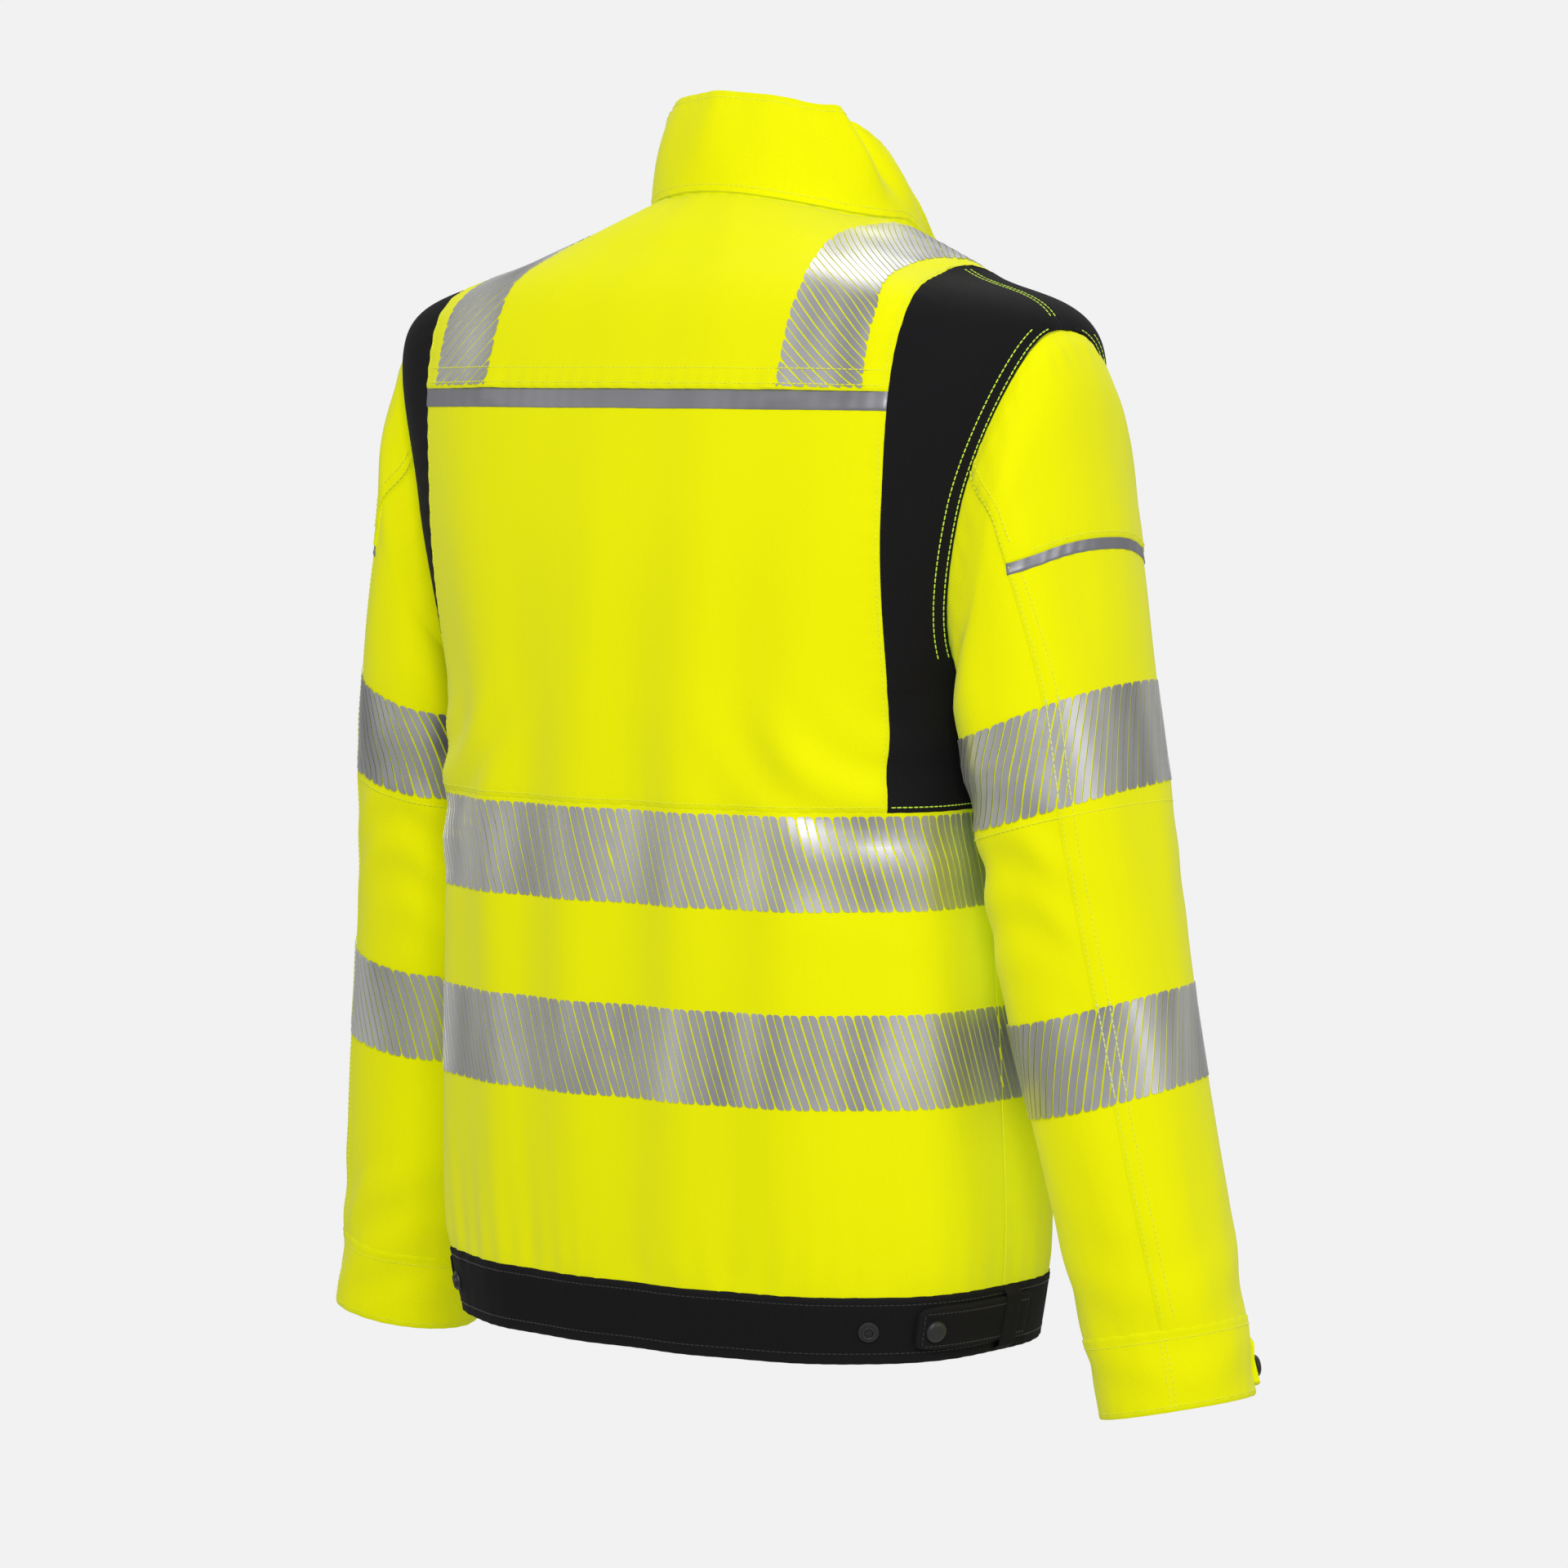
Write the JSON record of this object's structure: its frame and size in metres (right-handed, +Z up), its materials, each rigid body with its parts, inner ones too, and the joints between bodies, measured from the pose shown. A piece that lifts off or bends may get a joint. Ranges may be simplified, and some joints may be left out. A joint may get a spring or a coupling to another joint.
{
  "type": "hi-vis work jacket",
  "caption": "Hip-length high-visibility work jacket with stand-up collar, black side panels, segmented reflective tapes, front zip and waist tabs.",
  "frame": {"origin": "middle of the hanger loop inside the back neck", "axes": "+Z up, the wearer faces -Y, +X is the wearer's left"},
  "size_m": [0.6154, 0.2438, 0.6965],
  "materials": {
    "yellow_cloth": "matte fluorescent yellow twill",
    "black_cloth": "matte black twill",
    "reflective_tape": "silver grey segmented retro-reflective film",
    "snap_plastic": "black acetal",
    "zip_plastic": "black moulded",
    "zip_metal": "dark nickel",
    "label_cloth": "woven satin, blank"
  },
  "bodies": {
    "jacket_body": {"back_lower_panel": "yellow_cloth", "back_upper_panel": "yellow_cloth", "back_yoke": "yellow_cloth", "back_piping": "reflective_tape", "waistband": "black_cloth", "upper_tape_back": "reflective_tape", "lower_tape_back": "reflective_tape", "collar_outer": "yellow_cloth", "collar_lining": "black_cloth", "hanger_loop": "black_cloth", "neck_label": "label_cloth", "zip_tape_left": "black_cloth", "zip_tape_right": "black_cloth", "zip_chain": "zip_plastic", "side_back_panel_left": "black_cloth", "side_front_panel_left": "black_cloth", "front_upper_panel_left": "yellow_cloth", "front_lower_panel_left": "yellow_cloth", "upper_tape_front_left": "reflective_tape", "lower_tape_front_left": "reflective_tape", "brace_tape_left": "reflective_tape", "waist_stud_left": "snap_plastic", "chest_pocket_left": "yellow_cloth", "side_back_panel_right": "black_cloth", "side_front_panel_right": "black_cloth", "front_upper_panel_right": "yellow_cloth", "front_lower_panel_right": "yellow_cloth", "upper_tape_front_right": "reflective_tape", "lower_tape_front_right": "reflective_tape", "brace_tape_right": "reflective_tape", "waist_stud_right": "snap_plastic", "chest_pocket_right": "yellow_cloth"},
    "left_sleeve": {"sleeve_under_left": "yellow_cloth", "sleeve_top_left": "yellow_cloth", "sleeve_patch_left": "yellow_cloth", "sleeve_piping_left": "reflective_tape", "sleeve_upper_tape_left": "reflective_tape", "sleeve_lower_tape_left": "reflective_tape", "cuff_left": "yellow_cloth"},
    "left_cuff_tab": {"cuff_tab_left": "yellow_cloth", "cuff_snap_left": "snap_plastic"},
    "left_waist_tab": {"waist_tab_left": "black_cloth", "waist_snap_left": "snap_plastic"},
    "left_chest_flap": {"chest_flap_left": "yellow_cloth"},
    "right_sleeve": {"sleeve_under_right": "yellow_cloth", "sleeve_top_right": "yellow_cloth", "sleeve_patch_right": "yellow_cloth", "sleeve_piping_right": "reflective_tape", "sleeve_upper_tape_right": "reflective_tape", "sleeve_lower_tape_right": "reflective_tape", "cuff_right": "yellow_cloth"},
    "right_cuff_tab": {"cuff_tab_right": "yellow_cloth", "cuff_snap_right": "snap_plastic"},
    "right_waist_tab": {"waist_tab_right": "black_cloth", "waist_snap_right": "snap_plastic"},
    "right_chest_flap": {"chest_flap_right": "yellow_cloth"},
    "zip_slider_body": {"zip_slider": "zip_metal"},
    "zip_puller_body": {"zip_puller": "zip_plastic"}
  },
  "joints": [
    {"name": "left_sleeve_swing", "type": "hinge", "parent": "jacket_body", "child": "left_sleeve", "pos_m": [0.2175, 0.008, -0.0615], "axis": [0, -1, 0], "range_deg": [0, 20]},
    {"name": "left_cuff_tab_fold", "type": "hinge", "parent": "left_sleeve", "child": "left_cuff_tab", "pos_m": [0.25566, -0.06912, -0.61146], "axis": [0.2018, -0.0017, -0.9794], "range_deg": [0, 50]},
    {"name": "left_waist_tab_fold", "type": "hinge", "parent": "jacket_body", "child": "left_waist_tab", "pos_m": [0.17268, -0.02297, -0.586], "axis": [0, 0, -1], "range_deg": [0, 55]},
    {"name": "left_chest_flap_lift", "type": "hinge", "parent": "jacket_body", "child": "left_chest_flap", "pos_m": [0.0801, -0.1125, -0.144], "axis": [-0.9833, -0.1823, 0], "range_deg": [0, 100]},
    {"name": "right_sleeve_swing", "type": "hinge", "parent": "jacket_body", "child": "right_sleeve", "pos_m": [-0.2175, 0.008, -0.0615], "axis": [0, 1, 0], "range_deg": [0, 20]},
    {"name": "right_cuff_tab_fold", "type": "hinge", "parent": "right_sleeve", "child": "right_cuff_tab", "pos_m": [-0.25566, -0.06912, -0.61146], "axis": [0.2018, 0.0017, 0.9794], "range_deg": [0, 50]},
    {"name": "right_waist_tab_fold", "type": "hinge", "parent": "jacket_body", "child": "right_waist_tab", "pos_m": [-0.17268, -0.02297, -0.586], "axis": [0, 0, 1], "range_deg": [0, 55]},
    {"name": "right_chest_flap_lift", "type": "hinge", "parent": "jacket_body", "child": "right_chest_flap", "pos_m": [-0.0801, -0.1125, -0.144], "axis": [-0.9833, 0.1823, 0], "range_deg": [0, 100]},
    {"name": "zip_slide", "type": "slide", "parent": "jacket_body", "child": "zip_slider_body", "axis": [0, 0, 1], "range_m": [-0.47, 0]},
    {"name": "zip_puller_swing", "type": "hinge", "parent": "zip_slider_body", "child": "zip_puller_body", "pos_m": [0, -0.1192, -0.0905], "axis": [-1, 0, 0], "range_deg": [0, 150]}
  ]
}
